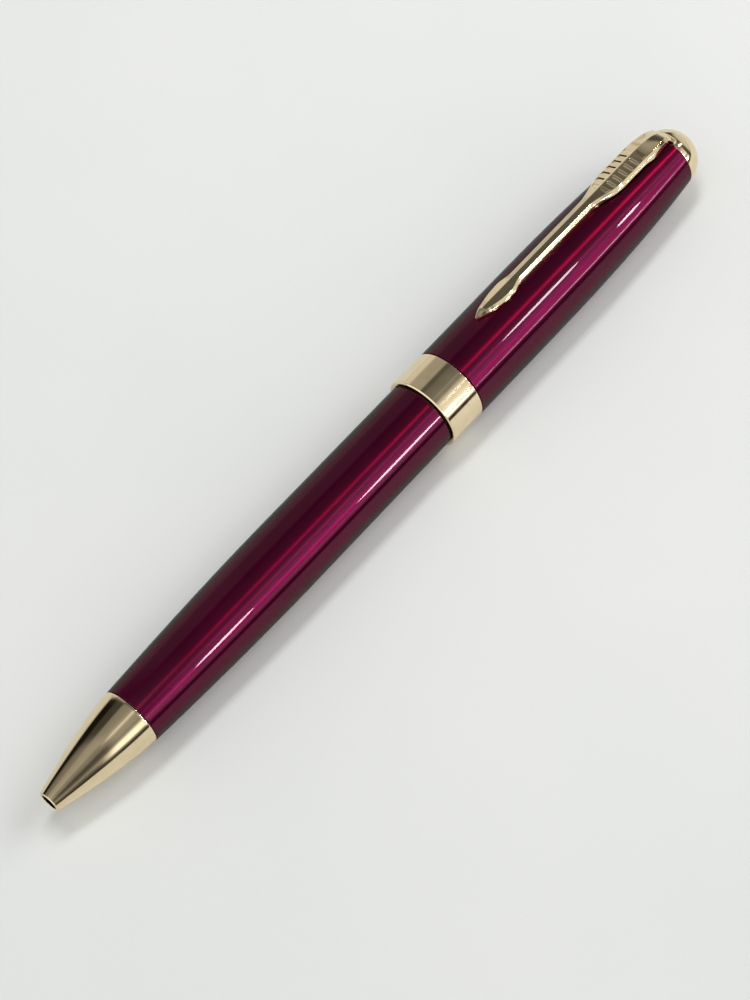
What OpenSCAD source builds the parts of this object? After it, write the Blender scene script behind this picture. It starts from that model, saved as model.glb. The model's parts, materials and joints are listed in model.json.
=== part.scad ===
// Twist-action ballpoint pen: lacquered brass barrels, polished metal fittings,
// a metal refill and a helical twist mechanism. The pen lies along X with the
// nose towards -X, and stands on the plane z = 0.

/* [Overall] */
// Length from the nose rim to the top of the domed end
pen_l = 136; // [132:0.5:140]
// Largest radius, on the upper barrel
pen_r = 5.95; // [5.9:0.05:6.1]

/* [Nose cone] */
// Length of the metal nose
nose_l = 15.76; // [15:0.1:16.5]
// Radius of the rim around the point
nose_tip_r = 1.65; // [1.6:0.05:1.8]
// Radius of the hole that the point comes out of
nose_hole_r = 1.26; // [1.22:0.01:1.35]

/* [Lower barrel] */
// Radius of the barrel where it meets the nose
grip_r = 4.53; // [4.5:0.01:4.7]
// Radius of the straight stretch
lower_r = 5.38; // [5.3:0.01:5.45]
// Where the straight stretch starts, from the nose rim
lower_straight = 46; // [42:1:50]

/* [Centre band] */
// Start of the band, from the nose rim
band_s = 75.25; // [74.5:0.05:76]
// Width of the band
band_w = 6.25; // [6:0.05:6.5]
// Radius of the band
band_r = 5.94; // [5.85:0.01:5.95]

/* [Upper barrel] */
// Radius where the upper barrel meets the dome
end_r = 4.63; // [4.5:0.01:4.7]

/* [Clip] */
// Roll of the clip away from straight up, to the back
clip_roll = 18.5; // [0:0.5:20]
// Height of the clip's crease above the pen's axis
clip_h = 7.1; // [7:0.05:7.4]
// Thickness of the clip
clip_t = 0.8; // [0.6:0.05:0.85]
// Where the clip's tip ends, from the nose rim
clip_tip_s = 89.2; // [88:0.1:92]
// Width of the narrow arm
clip_arm_w = 2.3; // [2:0.1:2.6]
// Width of the broad shield by the dome
clip_shield_w = 4.7; // [4.2:0.1:4.8]

/* [Refill and twist] */
// Length of the refill
refill_l = 98.1; // [97.5:0.1:98.5]
// Radius of the refill's body
refill_r = 2.95; // [2.9:0.01:3]
// How deep the point sits behind the nose rim when it is in
point_in = 2.6; // [2:0.1:3]
// How far the twist drives the refill
travel = 5.4; // [4.8:0.1:5.6]
// How far the cap turns, in degrees
twist = 160; // [140:1:160]

/* [Hidden] */
$fn = 72;

axis_z = pen_r;               // the pen lies on its widest part
end_s = pen_l - end_r;        // the dome is a half ball
glue = 0.02;                  // radial gap of a glued or pressed joint
run = 0.05;                   // radial gap of a running fit
eps = 0.01;

// lower body
nose_socket_r = 3.95;         // spigot of the nose inside the barrel
nose_spigot_l = 5;
nose_bore_s = 10.2;           // the refill's body starts behind this
spring_seat_s = 5.5;
spring_room_r = 2.45;
lower_end_s = band_s - 0.25;
lower_bore_r = 4.9;
lower_bore_s = 30;            // where the bore reaches that radius
bush_l = 6.5;
thread_r = 3.95;

// twist mechanism
bore_r = 3.2;                 // bore that the plunger slides in
tube_r = 3.76;                // outside of the fixed tube
housing_s = 66.5;
flange_s = band_s - 0.05;
flange_l = 0.6;
flange_r = 4.95;
housing_end_s = 110;
ring_groove_s = 109.2;
ring_t = 0.5;
friction_s = 77;
pin_r = 0.5;
pin_s = 103.5;                // pin with the point in
sleeve_s = 78;
sleeve_end_s = 109;
sleeve_r = 4.5;
liner_s = 76;
liner_end_s = 111.4;
liner_r = 5.28;

// refill, measured from the tip of its ball
ball_r = 0.5;
point_r = 1.15;
point_l = 4.5;
neck_end = 14;
shoulder_l = 1;
tube_wall = 0.4;
plug_l = 4.1;
tail_s = point_in + refill_l;

// upper end
cap_end_bore_r = 4.05;
cap_cone_s = liner_end_s + 0.2;   // the cap's bore narrows from here to its end
bushing_s = 116;
bushing_end_s = 130;
stud_r = 2;
clip_ring_t = 0.65;
clip_ring_r = 4.3;
hinge_s = end_s - 0.55;       // where the clip bends
hinge_h = 5.35;

// ---- placing -------------------------------------------------------------

// Puts a shape whose x is the distance from the nose rim into the pen's frame
module along() { translate([-pen_l / 2, 0, axis_z]) children(); }

// Turns a profile of [radius, distance from the nose rim] about the pen's axis
module turned() { along() rotate([0, 90, 0]) rotate_extrude() children(); }

// A ring between two radii and two stations
module ring(r_in, r_out, s0, s1) {
    turned() translate([r_in, s0]) square([r_out - r_in, s1 - s0]);
}

// Rolls the clip and the pieces that fit it about the pen's axis
module clip_side() { along() rotate([-clip_roll, 0, 0]) children(); }

// ---- outlines --------------------------------------------------------------

// A power curve that leaves r0 and arrives level at r1
function swell(t, r0, r1, power) = r1 - (r1 - r0) * pow(1 - t, power);

nose_outline = [for (i = [0:10])
    [swell(i / 10, nose_tip_r, grip_r, 1.47), nose_l * i / 10]];
lower_outline = [for (i = [0:8])
    [swell(i / 8, grip_r, lower_r, 1.75), nose_l + (lower_straight - nose_l) * i / 8]];
upper_start = band_s + band_w + 0.08;
crown_s = 97;
crown_l = end_s - crown_s;
upper_outline = [for (i = [0:10])
    [swell(1 - i / 10, end_r, pen_r, 2.65), crown_s + crown_l * i / 10]];

// ---- lower body ------------------------------------------------------------

module nose_cone() {
    spigot_end = nose_l + nose_spigot_l;
    color("khaki") turned() polygon(concat(
        [[nose_hole_r, 0.12], [nose_hole_r + 0.15, 0], [nose_tip_r - 0.1, 0]],
        [for (p = nose_outline) if (p[1] > 0.5) p],
        [[nose_socket_r, nose_l], [nose_socket_r, spigot_end],
         [refill_r + 0.3, spigot_end], [refill_r + 0.3, nose_bore_s],
         [spring_room_r, nose_bore_s], [spring_room_r, spring_seat_s],
         [nose_hole_r, spring_seat_s]]));
}

module lower_barrel() {
    socket_end = nose_l + nose_spigot_l + 0.3;
    color("#7a1038") turned() polygon(concat(
        lower_outline,
        [[lower_r, lower_end_s - 0.1], [lower_r - 0.1, lower_end_s],
         [lower_bore_r, lower_end_s], [lower_bore_r, lower_bore_s],
         [nose_socket_r + glue, socket_end], [nose_socket_r + glue, nose_l]]));
}

module barrel_bush() {
    color("goldenrod")
        ring(thread_r + glue, lower_bore_r - glue, lower_end_s - bush_l, lower_end_s);
}

module twist_washer() {
    color("black") ring(thread_r + glue, flange_r, lower_end_s, flange_s);
}

// Fixed tube with a threaded front, a flange and two straight guide slots
module mechanism_housing() {
    slot_half = pin_r + run;
    color("goldenrod") difference() {
        turned() polygon([
            [bore_r, housing_s], [thread_r, housing_s], [thread_r, flange_s],
            [flange_r, flange_s], [flange_r, flange_s + flange_l],
            [tube_r, flange_s + flange_l],
            [tube_r, friction_s - 0.5], [tube_r - 0.26, friction_s - 0.5],
            [tube_r - 0.26, friction_s + 0.5], [tube_r, friction_s + 0.5],
            [tube_r, ring_groove_s], [tube_r - 0.25, ring_groove_s],
            [tube_r - 0.25, ring_groove_s + ring_t], [tube_r, ring_groove_s + ring_t],
            [tube_r, housing_end_s], [bore_r, housing_end_s]]);
        along() translate([pin_s - travel, 0, 0]) rotate([90, 0, 0])
            linear_extrude(2 * tube_r + 1, center = true) {
                circle(slot_half);
                translate([travel, 0]) circle(slot_half);
                translate([0, -slot_half]) square([travel, 2 * slot_half]);
            }
    }
}

module friction_ring() {
    color("dimgray") turned() translate([tube_r + 0.22, friction_s]) circle(0.46);
}

// Open ring snapped into the groove behind the cam sleeve
module retaining_ring() {
    color("silver") difference() {
        ring(tube_r - 0.25 + glue, tube_r + 0.55, ring_groove_s + eps, ring_groove_s + ring_t - eps);
        along() translate([ring_groove_s - 0.5, -1, 0]) cube([1.5, 2, 8]);
    }
}

// ---- refill ----------------------------------------------------------------

// One ring of wire corners at turn t of the spring
spring_wire = 0.2;
spring_coil_r = 1.85;
spring_turns = 8;
spring_sides = 6;
spring_steps = spring_turns * 18;
spring_start = spring_seat_s + spring_wire + 0.02;
spring_l = point_in + neck_end - spring_start - spring_wire - 0.02;
function wire_corner(step, side) =
    let (a = 360 * spring_turns * step / spring_steps,
         b = 360 * side / spring_sides,
         r = spring_coil_r + spring_wire * cos(b))
    [spring_start + spring_l * step / spring_steps + spring_wire * sin(b),
     r * cos(a), r * sin(a)];

module refill_spring() {
    n = spring_sides;
    last = spring_steps * n;
    color("silver") along() polyhedron(
        points = [for (i = [0:spring_steps], j = [0:n - 1]) wire_corner(i, j)],
        faces = concat(
            [[for (j = [0:n - 1]) j]],
            [for (i = [0:spring_steps - 1], j = [0:n - 1])
                [i * n + j, (i + 1) * n + j, (i + 1) * n + (j + 1) % n, i * n + (j + 1) % n]],
            [[for (j = [n - 1:-1:0]) last + j]]));
}

// Turns a refill profile measured from the ball's tip
module refill_turned() { turned() translate([0, point_in]) children(); }

module point_ball() {
    color("dimgray") along() translate([point_in + ball_r, 0, 0]) sphere(ball_r);
}

module refill_point() {
    lip = 0.32;
    color("silver") refill_turned() difference() {
        polygon([[0.01, lip], [0.5, lip], [0.62, 0.7], [point_r, 2.6], [point_r, point_l],
                 [0.8, point_l], [0.8, point_l + 2], [0.01, point_l + 2]]);
        translate([0, ball_r]) circle(ball_r + 0.03);
        square([0.3, 10]);
    }
}

module refill_neck() {
    color("lightgray") refill_turned() polygon([
        [0.8 + glue, point_l + eps], [point_r, point_l + eps], [point_r, neck_end],
        [refill_r - tube_wall, neck_end], [refill_r, neck_end + shoulder_l],
        [refill_r - tube_wall - glue, neck_end + shoulder_l],
        [refill_r - tube_wall - glue, neck_end + 4], [0.8 + glue, neck_end + 4]]);
}

module refill_tube() {
    color("silver") refill_turned()
        translate([refill_r - tube_wall, neck_end + shoulder_l + eps])
        square([tube_wall, refill_l - plug_l - neck_end - shoulder_l - 2 * eps]);
}

module refill_ink() {
    color("navy") refill_turned() translate([0, neck_end + 4.1])
        square([refill_r - tube_wall - glue, 60]);
}

// Plastic tail with vent notches
module refill_end_plug() {
    shank = 5;
    color("gainsboro") difference() {
        refill_turned() polygon([
            [1, refill_l - plug_l - shank], [refill_r - tube_wall - glue, refill_l - plug_l - shank],
            [refill_r - tube_wall - glue, refill_l - plug_l], [refill_r, refill_l - plug_l],
            [refill_r, refill_l - 0.4], [refill_r - 0.3, refill_l], [1, refill_l]]);
        along() for (a = [0:60:120]) rotate([a, 0, 0])
            translate([tail_s - 1.5, -0.5, -4]) cube([2, 1, 8]);
    }
}

// ---- twist mechanism -------------------------------------------------------

// Slides in the housing's bore and pushes the refill's tail
module plunger() {
    color("ivory") difference() {
        turned() polygon([
            [0, tail_s + eps], [bore_r - 0.4, tail_s + eps], [bore_r - run, tail_s + 0.4],
            [bore_r - run, 106.6], [bore_r - 0.5, 107], [0, 107]]);
        along() translate([pin_s, 0, 0]) rotate([90, 0, 0])
            cylinder(r = pin_r + glue, h = 10, center = true);
    }
}

module follower_pin() {
    color("silver") along() translate([pin_s, 0, 0]) rotate([90, 0, 0])
        cylinder(r = pin_r, h = 2 * sleeve_r - 0.2, center = true);
}

// One helical slot as a swept block. It starts at the pin's rest place and runs
// towards the nose as the sleeve turns; both ends pass the pin a little.
module helical_slot() {
    steps = 24;
    over = 9;
    half = (pin_r + 0.1) / cos(25);
    function corner(i, r, side) =
        let (turn = -over + (twist + 2 * over) * i / steps,
             s = pin_s - travel * turn / twist + side * half)
        [s, r * cos(-turn), r * sin(-turn)];
    r_in = tube_r - 0.4;
    r_out = sleeve_r + 0.5;
    polyhedron(
        points = [for (i = [0:steps])
            each [corner(i, r_in, -1), corner(i, r_out, -1), corner(i, r_out, 1), corner(i, r_in, 1)]],
        faces = concat(
            [[0, 1, 2, 3]],
            [for (i = [0:steps - 1], j = [0:3])
                [i * 4 + j, (i + 1) * 4 + j, (i + 1) * 4 + (j + 1) % 4, i * 4 + (j + 1) % 4]],
            [[steps * 4 + 3, steps * 4 + 2, steps * 4 + 1, steps * 4]]));
}

module cam_sleeve() {
    color("goldenrod") difference() {
        ring(tube_r + run, sleeve_r, sleeve_s, sleeve_end_s);
        along() for (a = [0, 180]) rotate([a, 0, 0]) helical_slot();
    }
}

module mechanism_end_cap() {
    color("dimgray") ring(0, sleeve_r, housing_end_s + 0.4, liner_end_s);
}

// ---- cap -------------------------------------------------------------------

module cap_liner() {
    color("dimgray") ring(sleeve_r + glue, liner_r, liner_s, liner_end_s);
}

module centre_band() {
    bevel = 0.15;
    band_end = band_s + band_w;
    color("khaki") turned() polygon([
        [liner_r + glue, band_s], [band_r - bevel, band_s], [band_r, band_s + bevel],
        [band_r, band_end - bevel], [band_r - bevel, band_end], [liner_r + glue, band_end]]);
}

module upper_barrel() {
    color("#7a1038") turned() polygon(concat(
        [[liner_r + glue, upper_start], [band_r - 0.14, upper_start],
         [band_r - 0.04, upper_start + 0.1]],
        upper_outline,
        [[cap_end_bore_r, end_s], [liner_r + glue, cap_cone_s]]));
}

// Tapered plug in the narrowing end of the cap's bore
function cone_bore(s) =
    cap_end_bore_r + (liner_r + glue - cap_end_bore_r) * (end_s - s) / (end_s - cap_cone_s);

module cap_bushing() {
    color("goldenrod") turned() polygon([
        [stud_r + glue, bushing_s], [cone_bore(bushing_s) - glue, bushing_s],
        [cone_bore(bushing_end_s) - glue, bushing_end_s], [stud_r + glue, bushing_end_s]]);
}

module finial_stud() {
    stud_s = 118.5;
    stud_end_s = end_s + 2.2;
    color("goldenrod") difference() {
        ring(0, stud_r, stud_s, stud_end_s);
        along() translate([stud_s - 1, -0.3, -4]) cube([1.8, 0.6, 8]);
    }
}

// Domed end screwed over the clip's ring
module finial_dome() {
    recess = clip_ring_t + 0.05;
    color("khaki") difference() {
        turned() difference() {
            intersection() {
                translate([0, end_s]) circle(end_r);
                translate([0, end_s + eps]) square([end_r, end_r]);
            }
            translate([0, end_s - 1]) square([clip_ring_r + glue, 1 + recess]);
            translate([0, end_s - 1]) square([stud_r + glue, 3.3]);
        }
        clip_side() translate([end_s - 1, -clip_shield_w / 2 - 0.05, 3.4])
            cube([1 + recess + 0.35, clip_shield_w + 0.1, 3]);
    }
}

// Ring of the clip, under the dome, with the tab that the arm grows from
module clip_ring() {
    color("khaki") union() {
        difference() {
            ring(0, clip_ring_r, end_s + 0.03, end_s + clip_ring_t);
            ring(0, stud_r + glue, end_s - 1, end_s + 2);
        }
        clip_side() translate([end_s + 0.03, -clip_shield_w / 2 + 0.1, 3.5])
            cube([clip_ring_t - 0.03, clip_shield_w - 0.2, 1.2]);
    }
}

// ---- clip ------------------------------------------------------------------

// Half width of the clip at a station: a drop-shaped tip, a narrow arm, a soft
// shoulder and the broad shield
drop_l = 6.5;
drop_w = 3.3;
drop_end = 9;
shoulder_s = 113.8;
shoulder_end_s = 120;
function smooth(t) = let (c = max(0, min(1, t))) c * c * (3 - 2 * c);
function blend(a, b, t) = a + (b - a) * smooth(t);
function drop(d) = d < drop_l
    ? drop_w / 2 * pow(sin(90 * d / drop_l), 0.7)
    : blend(drop_w, clip_arm_w, (d - drop_l) / (drop_end - drop_l)) / 2;
function half_width(s) = s < shoulder_s
    ? drop(s - clip_tip_s)
    : blend(clip_arm_w, clip_shield_w, (s - shoulder_s) / (shoulder_end_s - shoulder_s)) / 2;

plan_stations = concat(
    [for (i = [1:10]) clip_tip_s + drop_l * pow(i / 10, 2)],
    [for (i = [1:4]) clip_tip_s + drop_l + (drop_end - drop_l) * i / 4],
    [for (i = [0:6]) shoulder_s + (shoulder_end_s - shoulder_s) * i / 6],
    [end_s + 2]);

module clip_plan() {
    polygon(concat(
        [[clip_tip_s, 0]],
        [for (s = plan_stations) [s, half_width(s)]],
        [for (i = [len(plan_stations) - 1:-1:0]) [plan_stations[i], -half_width(plan_stations[i])]]));
}

// Section across the clip: both faces fall from the crease in the middle
crease_fall = 0.5;
module clip_section(h) {
    w = clip_shield_w / 2;
    polygon([[-w, h - crease_fall], [0, h], [w, h - crease_fall],
             [w, h - crease_fall - clip_t], [0, h - clip_t - 0.05], [-w, h - crease_fall - clip_t]]);
}

// The arm runs level from the tip, then turns down over the end of the barrel
clip_bend_r = 2.6;
clip_bend_s = end_s - clip_bend_r + clip_t + 0.03;
module clip_arm() {
    color("khaki") clip_side() union() {
        intersection() {
            translate([0, 0, -1]) linear_extrude(12) clip_plan();
            rotate([90, 0, 0]) linear_extrude(clip_shield_w + 1, center = true)
                polygon([[clip_tip_s, 6.15], [clip_tip_s, 6.5], [clip_tip_s + 1.6, clip_h - 0.08],
                         [clip_tip_s + 6, clip_h + 1], [clip_bend_s, clip_h + 1],
                         [clip_bend_s, 5], [clip_tip_s + 6, 5]]);
            rotate([90, 0, 90]) linear_extrude(pen_l) clip_section(clip_h);
        }
        intersection() {
            translate([clip_bend_s, 0, clip_h - clip_bend_r]) rotate([90, 0, 0])
                rotate_extrude() rotate(-90) clip_section(clip_bend_r);
            translate([clip_bend_s, -4, hinge_h - 0.5]) cube([4, 8, 4]);
        }
    }
}

nose_cone();
lower_barrel();
barrel_bush();
twist_washer();
mechanism_housing();
friction_ring();
retaining_ring();
refill_spring();
refill_point();
refill_neck();
refill_tube();
refill_ink();
refill_end_plug();
point_ball();
plunger();
follower_pin();
cam_sleeve();
mechanism_end_cap();
cap_liner();
centre_band();
upper_barrel();
cap_bushing();
finial_stud();
finial_dome();
clip_ring();
clip_arm();
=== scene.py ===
import json
import math

import bpy
import numpy as np
from mathutils import Matrix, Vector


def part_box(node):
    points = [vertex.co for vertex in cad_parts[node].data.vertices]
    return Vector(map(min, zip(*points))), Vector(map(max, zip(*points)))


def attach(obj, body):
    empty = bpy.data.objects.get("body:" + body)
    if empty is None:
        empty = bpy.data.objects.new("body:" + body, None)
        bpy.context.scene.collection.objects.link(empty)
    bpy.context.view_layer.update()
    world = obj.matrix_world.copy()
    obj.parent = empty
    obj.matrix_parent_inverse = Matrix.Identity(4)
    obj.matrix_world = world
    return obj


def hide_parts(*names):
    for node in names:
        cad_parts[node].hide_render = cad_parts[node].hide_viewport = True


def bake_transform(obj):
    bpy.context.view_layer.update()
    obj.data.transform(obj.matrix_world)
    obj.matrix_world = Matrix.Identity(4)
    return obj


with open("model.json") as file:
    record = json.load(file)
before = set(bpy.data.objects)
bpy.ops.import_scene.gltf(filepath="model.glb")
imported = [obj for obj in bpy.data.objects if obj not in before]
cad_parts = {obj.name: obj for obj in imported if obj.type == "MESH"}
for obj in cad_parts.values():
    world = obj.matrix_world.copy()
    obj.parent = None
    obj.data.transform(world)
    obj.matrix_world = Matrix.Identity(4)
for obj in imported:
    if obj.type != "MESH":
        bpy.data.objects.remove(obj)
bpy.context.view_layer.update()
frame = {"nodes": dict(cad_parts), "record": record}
mm = 0.001

# The pen lies along X with its nose towards -X. Stations are millimetres from the nose rim.
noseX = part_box("nose_cone")[0].x
axisZ = 0.5 * (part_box("upper_barrel")[0].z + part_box("upper_barrel")[1].z)


def station(x):
    return (x - noseX) / mm


def low(node):
    return station(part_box(node)[0].x)


def high(node):
    return station(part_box(node)[1].x)


def radius(node):
    bottom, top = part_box(node)
    return 0.5 * (top.z - bottom.z) / mm


# sRGB hex to linear, by the usual curve.
def linear(code):
    parts = [int(code[i:i + 2], 16) / 255 for i in (1, 3, 5)]
    parts = [c / 12.92 if c <= 0.04045 else ((c + 0.055) / 1.055) ** 2.4 for c in parts]
    return (*parts, 1.0)


# One node with its settings; an input is a value or another node's output.
def addNode(tree, kind, settings=None, inputs=None):
    item = tree.nodes.new(kind)
    for name, value in (settings or {}).items():
        setattr(item, name, value)
    for name, value in (inputs or {}).items():
        if isinstance(value, bpy.types.NodeSocket):
            tree.links.new(value, item.inputs[name])
        else:
            item.inputs[name].default_value = value
    return item


# A colour ramp from (place, colour) pairs.
def addRamp(tree, fac, stops):
    item = addNode(tree, "ShaderNodeValToRGB", inputs={"Fac": fac})
    ramp = item.color_ramp
    while len(ramp.elements) < len(stops):
        ramp.elements.new(1.0)
    for element, (place, colour) in zip(ramp.elements, stops):
        element.position = place
        element.color = colour
    return item.outputs["Color"]


# A material with one Principled shader, the shader's own values and the object's coordinates.
def newMaterial(name, values):
    material = bpy.data.materials.new(name)
    material.use_nodes = True
    tree = material.node_tree
    shader = tree.nodes["Principled BSDF"]
    for key, value in values.items():
        shader.inputs[key].default_value = value
    return material, tree, shader, addNode(tree, "ShaderNodeTexCoord").outputs["Object"]


# A soft noise that takes the base colour from a dark tone to a light one; gives the noise.
def mottle(tree, shader, at, scale, detail, dark, light):
    noise = addNode(tree, "ShaderNodeTexNoise", inputs={"Vector": at, "Scale": scale, "Detail": detail})
    colour = addRamp(tree, noise.outputs["Fac"], [(0.3, linear(dark)), (0.7, linear(light))])
    tree.links.new(colour, shader.inputs["Base Color"])
    return noise.outputs["Fac"]


# A bump a hundredth of a millimetre deep.
def addBump(tree, shader, height, strength):
    bump = addNode(tree, "ShaderNodeBump", inputs={
        "Height": height, "Strength": strength, "Distance": 0.01 * mm})
    tree.links.new(bump.outputs[0], shader.inputs["Normal"])


surface = {"uvLength": 0.1, "flatKeep": 1.4, "cornerSteps": 5, "curveSteps": 40}


# Points on a grid of rows and columns; columns close into rings and open rows end in caps.
# v of the uv map counts uvLength metres along the rows.
def gridObject(name, points, material, closedRows=False):
    rows, cols = points.shape[:2]
    rowCount = rows if closedRows else rows - 1
    i, j = np.meshgrid(np.arange(rowCount), np.arange(cols), indexing="ij")
    nextI, nextJ = (i + 1) % rows, (j + 1) % cols
    faces = np.stack([i * cols + j, i * cols + nextJ, nextI * cols + nextJ, nextI * cols + j], -1)
    faces = faces.reshape(-1, 4)
    co = points.reshape(-1, 3)
    a, b, c, d = (co[faces[:, k]] for k in range(4))
    inside = co.mean(0)
    twoHalves = np.cross(b - inside, c - inside) + np.cross(c - inside, d - inside)
    volume = np.einsum("ij,ij->", a - inside, twoHalves)
    steps = np.linalg.norm(np.diff(points, axis=0), axis=2).mean(1)
    along = np.concatenate([[0], np.cumsum(steps)])
    u = np.stack([j, j + 1, j + 1, j], -1).reshape(-1, 4) / cols
    v = along[np.stack([i, i, nextI, nextI], -1).reshape(-1, 4)]
    if volume < 0:
        faces, u, v = faces[:, ::-1], u[:, ::-1], v[:, ::-1]
    mesh = bpy.data.meshes.new(name)
    caps = []
    if not closedRows:
        first = list(range(cols))
        last = [(rows - 1) * cols + k for k in range(cols)]
        caps = [first[::-1], last] if volume > 0 else [first, last[::-1]]
    mesh.from_pydata(co.tolist(), [], faces.tolist() + caps)
    uvMap = mesh.uv_layers.new(name="along")
    flat = np.zeros((len(mesh.loops), 2))
    flat[:faces.size, 0] = u.ravel()
    flat[:faces.size, 1] = v.ravel() / surface["uvLength"]
    uvMap.data.foreach_set("uv", flat.ravel())
    mesh.polygons.foreach_set("use_smooth", [True] * len(faces) + [False] * len(caps))
    mesh.update()
    thing = bpy.data.objects.new(name, mesh)
    bpy.context.scene.collection.objects.link(thing)
    mesh.materials.append(material)
    return thing


# A corner cut back by the same length each way and bridged by a parabola.
# A point a little before and after it keeps the flats flat.
def roundCorner(before, corner, after, cut):
    before, corner, after = (np.asarray(p, float)[..., :2] for p in (before, corner, after))
    back = (before - corner) / np.linalg.norm(before - corner, axis=-1, keepdims=True)
    ahead = (after - corner) / np.linalg.norm(after - corner, axis=-1, keepdims=True)
    t = np.linspace(0, 1, surface["cornerSteps"]).reshape(-1, *[1] * corner.ndim)
    bow = corner + cut * ((1 - t) ** 2 * back + t ** 2 * ahead)
    keep = surface["flatKeep"]
    return np.concatenate([[corner + keep * cut * back], bow, [corner + keep * cut * ahead]])


# A profile from (station, radius, cut) corners; a cut of 0 keeps the point.
def outline(corners, closed=True):
    count = len(corners)
    parts = []
    for k, corner in enumerate(corners):
        ends = not closed and k in (0, count - 1)
        if corner[2] == 0 or ends:
            parts.append([corner[:2]])
        else:
            parts.append(roundCorner(corners[k - 1], corner, corners[(k + 1) % count], corner[2]))
    return np.concatenate(parts)


# Points at station s, radius r and angle a about the pen: y = r sin a, z = axis + r cos a.
def aboutPen(s, r, a):
    return np.stack([noseX + s * mm, r * mm * np.sin(a), axisZ + r * mm * np.cos(a)], -1)


# A closed profile carried round the pen's axis.
def turned(name, profile, material):
    segments = 180
    a = np.linspace(0, 2 * math.pi, segments, endpoint=False)
    s = np.repeat(profile[:, :1], segments, 1)
    return gridObject(name, aboutPen(s, profile[:, 1:], a), material, closedRows=True)


# A power curve that leaves start and arrives level at end.
def swell(t, start, end, power):
    return end - (end - start) * (1 - t) ** power


# Profile points along a power curve between two stations.
def curve(s0, s1, r0, r1, power, flip=False):
    t = np.linspace(0, 1, surface["curveSteps"])
    r = swell(1 - t, r1, r0, power) if flip else swell(t, r0, r1, power)
    return [(s, q, 0) for s, q in zip(s0 + (s1 - s0) * t, r)]


# A piece rides on its body and stands for its CAD nodes.
def place(piece, body, slot, *nodes):
    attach(piece, body)
    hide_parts(*nodes)


# The camera looks down on the pen from the crest line: mm and degrees, near in metres.
view = {"lens": 90, "sensor": 36, "distance": 344.9, "lean": 20.0, "side": 18.5,
        "turn": 46.32, "aim": 61.24, "shift": -3.5, "near": 0.01}


def makeCamera():
    lean, side, turn = (math.radians(view[k]) for k in ("lean", "side", "turn"))
    back = np.array([-math.sin(lean), -math.cos(lean) * math.sin(side), math.cos(lean) * math.cos(side)])
    penWay = np.array([math.cos(lean), -math.sin(lean) * math.sin(side), math.sin(lean) * math.cos(side)])
    across = np.cross(back, penWay)
    right = math.cos(turn) * penWay - math.sin(turn) * across
    up = math.sin(turn) * penWay + math.cos(turn) * across
    aim = np.array([noseX + view["aim"] * mm, 0, axisZ]) + view["shift"] * mm * across
    spot = aim + view["distance"] * mm * back
    data = bpy.data.cameras.new("camera")
    data.lens = view["lens"]
    data.sensor_width = view["sensor"]
    data.clip_start = view["near"]
    thing = bpy.data.objects.new("camera", data)
    matrix = np.eye(4)
    matrix[:3, 0], matrix[:3, 1], matrix[:3, 2], matrix[:3, 3] = right, up, back, spot
    thing.matrix_world = Matrix(matrix.tolist())
    bpy.context.scene.collection.objects.link(thing)
    bpy.context.scene.camera = thing


makeCamera()
print("camera placed")

# The room is a colour ramp of the angle about the pen's length: 0 is straight up and
# 90 is the +Y horizon. One ramp serves the barrels, one the nose, whose cone looks
# back past the point, one the nose's tip, and the ends go by the distance along X. Each
# pair named to... is where along X the next ramp starts and where it has taken over.
room = {
    "barrel": [(-91, 0.8), (-89.5, 0.05), (-80.5, 0.05), (-79, 0.8), (-76, 1.4), (-68, 1.4), (-66, 0.40),
               (-60.5, 0.40), (-58.5, 1.2), (-44, 0.85), (-38, 0.8), (-34, 0.75), (-31, 0.6), (-26, 0.5),
               (-24, 0.3), (-22, 0.26), (-14, 0.25), (-12.6, 0.36), (-11, 0.25), (-8, 0.21), (16, 0.16),
               (19, 0.11), (28, 0.11), (33, 0.40), (67, 0.42), (75, 0.75), (91, 0.8)],
    "nose": [(-91, 0.8), (-89, 0.04), (-81, 0.05), (-75, 0.4), (-69, 1.6), (-56, 1.5), (-50, 0.6),
             (-44, 0.28), (-34, 0.36), (-22, 0.38), (-16, 0.62), (-12, 1.0), (-8, 0.48), (2, 0.32),
             (26, 0.25), (32, 0.065), (54, 0.055), (60, 0.010), (82, 0.008), (87, 0.5), (91, 0.8)],
    "tip": [(-91, 0.8), (-88, 0.03), (-80, 0.05), (-68, 0.15), (-58, 0.32), (-46, 0.10), (-33, 0.08),
            (-22, 0.24), (-11, 0.28), (-1, 0.43), (22, 0.38), (34, 0.24), (50, 0.20), (60, 0.12), (67, 0.01),
            (84, 0.008), (88, 0.5), (91, 0.8)],
    "ends": [(-1.0, 1.3), (-0.4, 1.2), (0.70, 0.30), (0.76, 0.08), (0.86, 0.10), (0.92, 0.7), (1.0, 0.75)],
    "toNose": (0.19, 0.12), "toTip": (-0.08, -0.16), "toCapEnd": (0.70, 0.78), "toNoseEnd": (-0.32, -0.42),
    "tint": "#fffdf8", "background": "#dfe1e1", "strength": 1.0,
}


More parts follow.
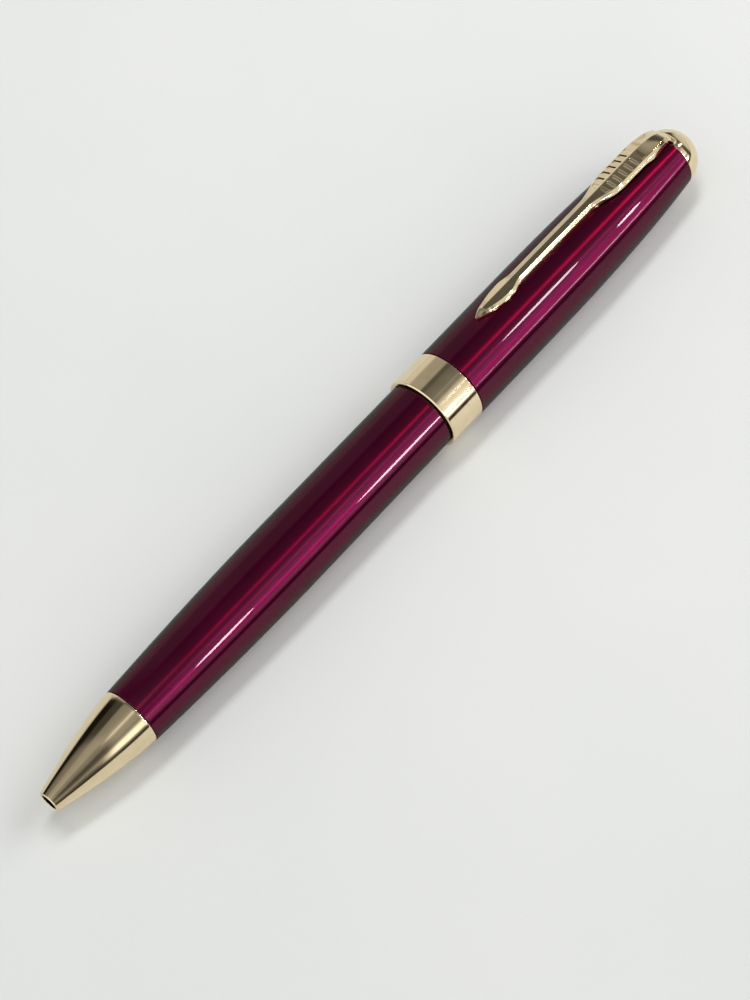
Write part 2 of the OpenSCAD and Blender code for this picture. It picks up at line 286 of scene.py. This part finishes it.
def makeWorld():
    world = bpy.data.worlds.new("room")
    bpy.context.scene.world = world
    world.use_nodes = True
    tree = world.node_tree
    tree.nodes.clear()
    way = addNode(tree, "ShaderNodeTexCoord").outputs["Generated"]
    split = addNode(tree, "ShaderNodeSeparateXYZ", inputs={"Vector": way})
    angle = addNode(tree, "ShaderNodeMath", {"operation": "ARCTAN2"},
                    {0: split.outputs["Y"], 1: split.outputs["Z"]})
    place01 = addNode(tree, "ShaderNodeMapRange", inputs={
        "Value": angle.outputs[0], "From Min": -math.pi, "From Max": math.pi})
    ramps = {}
    for name in ("barrel", "nose", "tip"):
        stops = [((a + 180) / 360, (v, v, v, 1)) for a, v in room[name]]
        ramps[name] = addRamp(tree, place01.outputs[0], stops)
    along = split.outputs["X"]
    along01 = addNode(tree, "ShaderNodeMapRange", inputs={"Value": along, "From Min": -1.0, "From Max": 1.0})
    endRamp = addRamp(tree, along01.outputs[0], [((a + 1) / 2, (v, v, v, 1)) for a, v in room["ends"]])

    def share(pair):
        start, full = room[pair]
        return addNode(tree, "ShaderNodeMapRange", {"interpolation_type": "SMOOTHSTEP"}, {
            "Value": along, "From Min": start, "From Max": full}).outputs[0]

    def blend(fac, below, above):
        return addNode(tree, "ShaderNodeMix", {"data_type": "RGBA"}, {0: fac, 6: below, 7: above}).outputs[2]

    both = blend(share("toNose"), ramps["barrel"], ramps["nose"])
    three = blend(share("toTip"), both, ramps["tip"])
    anyEnd = addNode(tree, "ShaderNodeMath", {"operation": "MAXIMUM"}, {
        0: share("toCapEnd"), 1: share("toNoseEnd")})
    ends = blend(anyEnd.outputs[0], three, endRamp)
    tinted = addNode(tree, "ShaderNodeMix", {"data_type": "RGBA", "blend_type": "MULTIPLY"}, {
        0: 1.0, 6: ends, 7: linear(room["tint"])})
    light = addNode(tree, "ShaderNodeBackground", inputs={
        "Color": tinted.outputs[2], "Strength": room["strength"]})
    plain = addNode(tree, "ShaderNodeBackground", inputs={"Color": linear(room["background"])})
    seen = addNode(tree, "ShaderNodeLightPath").outputs["Is Camera Ray"]
    mix = addNode(tree, "ShaderNodeMixShader", inputs={
        0: seen, 1: light.outputs[0], 2: plain.outputs[0]})
    addNode(tree, "ShaderNodeOutputWorld", inputs={"Surface": mix.outputs[0]})


# Lamps are given by where they stand as seen from the middle of the pen: the angle about
# its length, the angle towards the cap, and their size both ways in degrees. Mirror lamps
# only show as reflections; the others only light the floor and the matt parts.
lamps = {
    "key": {"about": -24, "towards": 40, "wide": 30, "long": 45, "power": 2.05, "mirror": False},
    "overhead": {"about": 13, "towards": 6, "wide": 9, "long": 24, "power": 1.75, "mirror": False},
    "fill": {"about": 45, "towards": 10, "wide": 60, "long": 60, "power": 0.2, "mirror": False},
    "panelNose": {"about": -56.0, "towards": 9.1, "wide": 6.0, "long": 4.6, "power": 0.50, "mirror": True},
    "panelMiddle": {"about": -62.0, "towards": 20.9, "wide": 5.5, "long": 4.6, "power": 0.48, "mirror": True},
    "panelCap": {"about": -37.5, "towards": 28.2, "wide": 5.0, "long": 5.2, "power": 0.42, "mirror": True},
    "panelEnd": {"about": -50.0, "towards": 36.5, "wide": 5.0, "long": 3.2, "power": 0.30, "mirror": True},
    "tubeLow": {"about": -73.0, "towards": 34.0, "wide": 1.4, "long": 22, "power": 0.32, "mirror": True},
    "tubeBeyond": {"about": -14.4, "towards": 52.0, "wide": 1.8, "long": 14, "power": 1.3, "mirror": True,
                   "tint": "#ffc8a0"},
}
lampDistance = 0.7  # metres from the middle of the pen


def makeLamps():
    for name, lamp in lamps.items():
        about, towards = math.radians(lamp["about"]), math.radians(lamp["towards"])
        way = np.array([
            math.sin(towards), math.cos(towards) * math.sin(about), math.cos(towards) * math.cos(about)])
        side = np.array([0, math.cos(about), -math.sin(about)])
        data = bpy.data.lights.new(name, "AREA")
        data.shape = "ELLIPSE" if lamp["mirror"] else "RECTANGLE"
        data.size = 2 * lampDistance * math.tan(math.radians(lamp["wide"] / 2))
        data.size_y = 2 * lampDistance * math.tan(math.radians(lamp["long"] / 2))
        data.energy = lamp["power"]
        data.color = linear(lamp.get("tint", "#ffffff"))[:3]
        thing = bpy.data.objects.new(name, data)
        matrix = np.eye(4)
        matrix[:3, 0], matrix[:3, 1], matrix[:3, 2] = side, np.cross(way, side), way
        matrix[:3, 3] = way * lampDistance
        thing.matrix_world = Matrix(matrix.tolist())
        thing.visible_glossy = lamp["mirror"]
        thing.visible_diffuse = not lamp["mirror"]
        thing.visible_camera = False
        bpy.context.scene.collection.objects.link(thing)


floor = {"half": 3.0, "dark": "#d2d5d5", "light": "#d7d9d9", "scale": 14}  # half its side, in metres


# A wide pale table top, smooth matt laminate with a barely mottled tone.
def makeFloor():
    material, tree, shader, at = newMaterial("mattLaminate", {"Roughness": 0.75, "IOR": 1.45})
    mottle(tree, shader, at, floor["scale"], 3, floor["dark"], floor["light"])
    half = floor["half"]
    corners = [(-half, -half, 0), (half, -half, 0), (half, half, 0), (-half, half, 0)]
    mesh = bpy.data.meshes.new("floor")
    mesh.from_pydata(corners, [], [(0, 1, 2, 3)])
    mesh.materials.append(material)
    thing = bpy.data.objects.new("floor", mesh)
    bpy.context.scene.collection.objects.link(thing)


bpy.context.scene.view_settings.view_transform = "Standard"
makeWorld()
makeLamps()
makeFloor()
print("room and lamps made")


# Transparent deep-red lacquer over turned brass, sprayed and polished: the metal
# below throws long streaks along the pen, and the clear top mirrors the room.
def candyLacquer():
    material, tree, shader, at = newMaterial("candyLacquer", {
        "Metallic": 1.0, "Roughness": 0.34, "Anisotropic": 1.0, "Anisotropic Rotation": 0.25,
        "Specular Tint": linear("#582c4a"),
        "Coat Weight": 0.38, "Coat Roughness": 0.015, "Coat IOR": 1.5, "Coat Tint": linear("#f0c8d4")})
    mottle(tree, shader, at, 160, 2, "#5a0032", "#620237")
    tangent = addNode(tree, "ShaderNodeTangent", {"direction_type": "UV_MAP", "uv_map": "along"})
    tree.links.new(tangent.outputs[0], shader.inputs["Tangent"])
    return material


# Pale gold plate over polished brass: a near mirror, a little duller where it was handled.
def goldPlate():
    material, tree, shader, at = newMaterial("goldPlate", {"Metallic": 1.0, "Roughness": 0.07})
    cloud = mottle(tree, shader, at, 500, 4, "#e2cfa6", "#e9d8b4")
    rough = addNode(tree, "ShaderNodeMapRange", inputs={
        "Value": cloud, "From Min": 0.3, "From Max": 0.75, "To Min": 0.05, "To Max": 0.11})
    tree.links.new(rough.outputs[0], shader.inputs["Roughness"])
    return material


# Bare metal off the lathe: fine rings round the pen, a ring every spacing millimetres.
def turnedMetal(name, dark, light, roughness, spacing):
    material, tree, shader, at = newMaterial(name, {"Metallic": 1.0, "Roughness": roughness})
    turnedAt = addNode(tree, "ShaderNodeMapping", inputs={
        "Vector": at, "Scale": (1 / (spacing * mm), 150, 150)})
    rings = mottle(tree, shader, turnedAt.outputs[0], 1.0, 2, dark, light)
    addBump(tree, shader, rings, 0.25)
    return material


# Injection-moulded plastic or rubber: a faint cloudy tone and a fine sparked grain.
def mouldedPlastic(name, dark, light, roughness, grain):
    material, tree, shader, at = newMaterial(name, {"Roughness": roughness, "IOR": 1.5})
    mottle(tree, shader, at, 400, 3, dark, light)
    spark = addNode(tree, "ShaderNodeTexNoise", inputs={
        "Vector": at, "Scale": 1 / (grain * mm), "Detail": 2})
    addBump(tree, shader, spark.outputs["Fac"], 0.3)
    return material


lacquer = candyLacquer()
gold = goldPlate()
finishes = {
    "polished_gold_plate": gold,
    "burgundy_lacquer": lacquer,
    "brass_turned": turnedMetal("turnedBrass", "#b08c48", "#d2b26c", 0.28, 0.12),
    "spring_steel": turnedMetal("springSteel", "#8e9296", "#c3c7ca", 0.25, 0.05),
    "stainless_point": turnedMetal("stainlessPoint", "#b4b5b3", "#d8d9d6", 0.2, 0.04),
    "refill_metal": turnedMetal("nickelTube", "#a9abab", "#cfd1d0", 0.3, 0.1),
    "carbide": turnedMetal("carbideBall", "#54565a", "#6d7074", 0.18, 0.02),
    "black_nylon": mouldedPlastic("blackNylon", "#141516", "#1f2021", 0.5, 0.05),
    "black_rubber": mouldedPlastic("nitrileRubber", "#101010", "#1a1a1a", 0.75, 0.03),
    "refill_plastic": mouldedPlastic("palePolypropylene", "#c9cccb", "#dcdfde", 0.4, 0.06),
    "white_acetal": mouldedPlastic("whiteAcetal", "#e4e2da", "#efede6", 0.32, 0.06),
    "ink": mouldedPlastic("pasteInk", "#0b1030", "#141c4a", 0.12, 0.2),
}
slots = {part["node"]: part["material_slot"] for part in frame["record"]["subparts"]}
for nodeName, thing in frame["nodes"].items():
    thing.data.materials.clear()
    thing.data.materials.append(finishes[slots[nodeName]])

# The nose, the two barrels and the band are turned profiles; stations and radii in mm.
innerCut = 0.05  # cut of an inside corner
nose = {"rim": 1.65, "hole": radius("refill_point") + 0.11, "power": 1.47, "end": 4.53, "shoulder": 15.76,
        "spigot": 3.95, "seat": 5.5, "springRoom": 2.45, "bore": 3.25, "boreFrom": 10.2,
        "holeCut": 0.08, "rimCut": 0.1, "shoulderCut": 0.2}


def noseCone():
    end = nose["shoulder"]
    tail = high("nose_cone")
    skin = curve(0, end, nose["rim"], nose["end"], nose["power"])[1:-1]
    return outline([(0, nose["hole"], nose["holeCut"]), (0, nose["rim"], nose["rimCut"])] + skin + [
        (end, nose["end"], nose["shoulderCut"]), (end, nose["spigot"], innerCut),
        (tail, nose["spigot"], nose["shoulderCut"]), (tail, nose["bore"], nose["rimCut"]),
        (nose["boreFrom"], nose["bore"], innerCut), (nose["boreFrom"], nose["springRoom"], innerCut),
        (nose["seat"], nose["springRoom"], innerCut), (nose["seat"], nose["hole"], innerCut)])


place(turned("noseCone", noseCone(), gold), "lower_body", "polished_gold_plate", "nose_cone")

lower = {"front": 4.53, "power": 1.75, "straightFrom": 46, "bore": 4.9, "boreFrom": 30, "socket": 3.97,
         "socketEnd": 21.06, "gap": 0.06, "edge": 0.08}


def lowerBarrel():
    start = low("lower_barrel") + lower["gap"]
    end, out = high("lower_barrel"), radius("lower_barrel")
    skin = curve(start, lower["straightFrom"], lower["front"], out, lower["power"])[1:]
    return outline([(start, lower["socket"], innerCut), (start, lower["front"], lower["edge"])] + skin + [
        (end, out, lower["edge"]), (end, lower["bore"], innerCut), (lower["boreFrom"], lower["bore"], 0),
        (lower["socketEnd"], lower["socket"], 0)])


place(turned("lowerBarrel", lowerBarrel(), lacquer), "lower_body", "burgundy_lacquer", "lower_barrel")

band = {"inside": 5.3, "bevel": 0.17, "edge": 0.04}


def centreBand():
    start, end, out = low("centre_band"), high("centre_band"), radius("centre_band")
    bevel, edge = band["bevel"], band["edge"]
    return outline([
        (start, band["inside"], edge), (start, out - bevel, edge), (start + bevel, out, edge),
        (end - bevel, out, edge), (end, out - bevel, edge), (end, band["inside"], edge)])


place(turned("centreBand", centreBand(), gold), "cap", "polished_gold_plate", "centre_band")

upper = {"front": 5.9, "crown": 97, "end": 4.63, "power": 2.65, "bore": 5.3, "boreEnd": 111.6,
         "endBore": 4.05, "edge": 0.07}


def upperBarrel():
    start, end, out = low("upper_barrel"), high("upper_barrel"), radius("upper_barrel")
    skin = curve(upper["crown"], end, out, upper["end"], upper["power"], flip=True)[:-1]
    return outline([(start, upper["bore"], innerCut), (start, upper["front"], upper["edge"])] + skin + [
        (end, upper["end"], upper["edge"]), (end, upper["endBore"], innerCut),
        (upper["boreEnd"], upper["bore"], 0)])


place(turned("upperBarrel", upperBarrel(), lacquer), "cap", "burgundy_lacquer", "upper_barrel")
print("barrels, band and nose made")

# The domed end, in mm from where the upper barrel stops; roll is the clip's angle in degrees.
dome = {"end": 4.63, "recess": 0.7, "ring": 4.34, "stud": 2.03, "studRoom": 2.25, "edge": 0.06,
        "notchHalf": 1.9, "notchTo": 1.1, "notchFloor": 3.4, "notchEdge": 0.12, "notchSlope": 0.08,
        "roll": 18.5, "ballSteps": 60, "segments": 360}


def smooth(t):
    t = np.clip(t, 0, 1)
    return t * t * (3 - 2 * t)


# A half ball over a recess for the clip's ring. Where the clip's root comes in, the
# wall is drawn in to the notch's floor, fading over a short edge.
def domedEnd():
    start = low("finial_dome")
    a = np.linspace(0, math.pi / 2, dome["ballSteps"])[1:-1]
    ball = [(start + dome["end"] * math.cos(q), dome["end"] * math.sin(q), 0) for q in a]
    profile = outline([(start + dome["end"], 0, 0)] + ball + [
        (start, dome["end"], dome["edge"]), (start, dome["ring"], dome["edge"]),
        (start + dome["recess"], dome["ring"], dome["edge"]),
        (start + dome["recess"], dome["stud"], dome["edge"]),
        (start + dome["studRoom"], dome["stud"], dome["edge"]),
        (start + dome["studRoom"], 0, 0)], closed=False)
    segments = dome["segments"]
    around = np.linspace(0, 2 * math.pi, segments, endpoint=False) - math.radians(dome["roll"])
    s = np.repeat(profile[:, :1], segments, 1)
    r = np.repeat(profile[:, 1:], segments, 1)
    aside = np.abs(r * np.sin(around))
    inNotch = smooth((dome["notchHalf"] - aside) / dome["notchEdge"]) * (np.cos(around) > 0)
    inNotch = inNotch * smooth((start + dome["notchTo"] - s) / dome["notchEdge"])
    floorR = dome["notchFloor"] + dome["notchSlope"] * (r - dome["notchFloor"])
    r = np.where(r > dome["notchFloor"], r + (floorR - r) * inNotch, r)
    turn = around + math.radians(dome["roll"])
    return gridObject("domedEnd", aboutPen(s, r, turn), gold)


place(domedEnd(), "cap", "polished_gold_plate", "finial_dome")

# The clip: heights are from the pen's axis, widths across its crest, stations from the nose rim.
clip = {"crest": 7.1, "thick": 0.8, "bend": 2.6, "sweep": 7.0, "fall": 0.5, "roll": 18.5,
        "dropLong": 6.5, "dropWide": 3.3, "dropEnd": 9.0, "armWide": 2.3, "shieldWide": 4.7, "rootWide": 3.5,
        "shoulder": 113.8, "shoulderEnd": 120.0, "bevel": 0.36, "bevelDrop": 0.42, "cut": 0.07,
        "grooves": 7, "grooveFrom": 117.6, "groovePitch": 1.3, "grooveWide": 0.40, "grooveDeep": 0.12,
        "tipDrop": 0.55, "tipDropLong": 2.4, "tipThin": 0.08, "tipThinLong": 2, "dropPower": 0.7,
        "rootFrom": 127, "rootLong": 6, "thicken": 124.0, "thickenLong": 5.5, "flatten": 128,
        "flattenLong": 3, "fullHalf": 2.35, "smallHalf": 1.1, "smallest": 0.05, "clearOver": 0.12,
        "clearUnder": 0.04, "clearEnd": 0.06, "edgeKeep": 0.12, "grooveTop": 0.6,
        "creaseClear": 0.2, "creaseFade": 0.15, "bevelClear": 0.1, "bevelFade": 0.12}

# Where the clip's rows stand, in mm, closest at its tip and over the grooves, and how many.
rows = {"first": 0.02, "tipLong": 1.2, "tip": 14, "dropFrom": 1.3, "dropTo": 9.5, "drop": 50, "armFrom": 10,
        "arm": 24, "shoulderFrom": 0.2, "shoulderTo": 118, "shoulder": 20, "grooveFrom": 118.1,
        "grooveStep": 0.06, "lastGap": 0.1, "bendFrom": 2, "bend": 45, "sink": [0.2, 0.45],
        "acrossFace": 16, "acrossSide": 3}


# Half the clip's width: a drop at the tip, a narrow arm, a soft shoulder and the shield.
def clipHalfWidth(s):
    d = s - low("clip_arm")
    rounding = np.sin(0.5 * math.pi * np.clip(d / clip["dropLong"], 0, 1)) ** clip["dropPower"]
    drop = 0.5 * clip["dropWide"] * rounding
    narrow = smooth((d - clip["dropLong"]) / (clip["dropEnd"] - clip["dropLong"]))
    broad = smooth((s - clip["shoulder"]) / (clip["shoulderEnd"] - clip["shoulder"]))
    root = smooth((s - clip["rootFrom"]) / clip["rootLong"])
    w = drop + narrow * 0.5 * (clip["armWide"] - clip["dropWide"])
    w = w + broad * 0.5 * (clip["shieldWide"] - clip["armWide"])
    return w + root * 0.5 * (clip["rootWide"] - clip["shieldWide"])


# Straight grooves across each face of the shield, clear of the crease and the bevel.
def grooveDepth(s, w, half):
    k = np.arange(clip["grooves"])
    centres = clip["grooveFrom"] + clip["groovePitch"] * k
    x = np.abs(s[..., None] - centres).min(-1) / clip["grooveWide"]
    offCrease = smooth((np.abs(w) - clip["creaseClear"]) / clip["creaseFade"])
    offBevel = smooth((half - clip["bevel"] - clip["bevelClear"] - np.abs(w)) / clip["bevelFade"])
    across = offCrease * offBevel
    return clip["grooveDeep"] * (0.5 + 0.5 * np.cos(math.pi * np.clip(x, 0, 1))) * across


# A creased section with bevelled edges carried from the tip to the bend, then round
# the bend and down into the domed end.
def clipPiece():
    tip, bendX = low("clip_arm"), high("clip_arm") - clip["sweep"]
    hub = clip["crest"] - clip["bend"]
    longer = clip["sweep"] - clip["bend"]
    s = np.concatenate([
        tip + rows["first"] + rows["tipLong"] * np.linspace(0, 1, rows["tip"]) ** 2,
        np.linspace(tip + rows["dropFrom"], tip + rows["dropTo"], rows["drop"]),
        np.linspace(tip + rows["armFrom"], clip["shoulder"], rows["arm"]),
        np.linspace(clip["shoulder"] + rows["shoulderFrom"], rows["shoulderTo"], rows["shoulder"]),
        np.arange(rows["grooveFrom"], bendX - rows["lastGap"], rows["grooveStep"]), [bendX]])
    bend = np.radians(np.linspace(rows["bendFrom"], 90, rows["bend"]))
    turn = np.concatenate([np.zeros(len(s)), bend, [math.pi / 2] * len(rows["sink"])])
    sink = np.concatenate([np.zeros(len(s) + rows["bend"]), rows["sink"]])
    s = np.concatenate([s, bendX + clip["sweep"] * np.sin(turn[len(s):])])
    half = clipHalfWidth(s)
    d = s - tip
    rise = clip["crest"] - clip["tipDrop"] * (1 - smooth(d / clip["tipDropLong"])) ** 1.5
    small = np.clip(half / clip["smallHalf"], clip["smallest"], 1)
    bevel, bevelDrop = clip["bevel"] * small, clip["bevelDrop"] * small
    fall = clip["fall"] * half / clip["fullHalf"]
    fall = fall * (1 - 0.5 * smooth((s - clip["flatten"]) / clip["flattenLong"]))
    shoulderH = rise - fall
    edgeH = shoulderH - bevelDrop
    under = rise - clip["fall"] - clip["thick"] + clip["tipThin"] * (1 - smooth(d / clip["tipThinLong"]))
    # The underside stays off the barrel, and at the root it comes down to hug the barrel's end.
    endGap = high("upper_barrel") + clip["clearEnd"]
    below = np.where(turn > 0, bendX + (longer + 0.5) * np.sin(turn), s)
    inwards = np.clip((endGap - below) / (endGap - upper["crown"]), 0, 1)
    barrel = swell(inwards, upper["end"], radius("upper_barrel"), upper["power"])
    overBarrel = (barrel + clip["clearOver"] - hub) / np.maximum(np.cos(turn), 1e-3)
    behindBarrel = (endGap - bendX) / np.maximum(np.sin(turn), 1e-3) - longer
    hug = hub + np.minimum(overBarrel, behindBarrel)
    under = np.maximum(under, barrel + clip["clearUnder"])
    thick = smooth((s - clip["thicken"]) / clip["thickenLong"])
    under = np.minimum(under + (hug - under) * thick, edgeH - clip["edgeKeep"] * small)
    z = np.zeros_like(s)
    corners = [(z, rise), (-(half - bevel), shoulderH), (-half, edgeH), (-half, under),
               (half, under), (half, edgeH), (half - bevel, shoulderH)]
    corners = [np.stack(c, -1) for c in corners]
    cut = (clip["cut"] * small)[:, None]
    count = len(corners)
    rounded = [roundCorner(corners[k - 1], corners[k], corners[(k + 1) % count], cut) for k in range(count)]
    strips = []
    for k in range(count):
        strips.append(rounded[k])
        inner = rows["acrossFace"] if k in (0, count - 1) else rows["acrossSide"]
        mix = np.linspace(0, 1, inner + 2)[1:-1].reshape(-1, 1, 1)
        strips.append(rounded[k][-1] * (1 - mix) + rounded[(k + 1) % count][0] * mix)
    section = np.concatenate(strips).transpose(1, 0, 2)
    w, h = section[..., 0], section[..., 1]
    stations = np.repeat(s[:, None], w.shape[1], 1)
    onTop = h > (edgeH[:, None] + clip["grooveTop"] * bevelDrop[:, None])
    h = h - grooveDepth(stations, w, half[:, None]) * onTop
    bent = turn[:, None] > 0
    reach = h - hub
    x = np.where(bent, bendX + (reach + longer) * np.sin(turn)[:, None], stations)
    h = np.where(bent, hub + reach * np.cos(turn)[:, None], h) - sink[:, None]
    roll = math.radians(clip["roll"])
    y = w * math.cos(roll) + h * math.sin(roll)
    up = h * math.cos(roll) - w * math.sin(roll)
    points = np.stack([noseX + x * mm, y * mm, axisZ + up * mm], -1)
    return gridObject("clip", points, gold)


place(clipPiece(), "clip", "polished_gold_plate", "clip_arm")
print("domed end and clip made")

# The refill's spring, which shortens as the point comes out.
spring = {"wire": 0.15, "coil": 1.85, "turns": 8, "steps": 36, "sides": 8}


# Round wire on a helix: r = coil + wire cos b, s = even steps along the spring + wire sin b.
def refillSpring():
    start, end = low("refill_spring") + spring["wire"], high("refill_spring") - spring["wire"]
    t = np.linspace(0, 1, spring["turns"] * spring["steps"] + 1)[:, None]
    b = np.linspace(0, 2 * math.pi, spring["sides"], endpoint=False)[None, :]
    a = 2 * math.pi * spring["turns"] * t
    r = spring["coil"] + spring["wire"] * np.cos(b)
    s = start + (end - start) * t + spring["wire"] * np.sin(b)
    piece = gridObject("refillSpring", aboutPen(s, r, a), finishes["spring_steel"])
    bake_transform(piece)
    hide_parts("refill_spring")


refillSpring()
print("spring made")
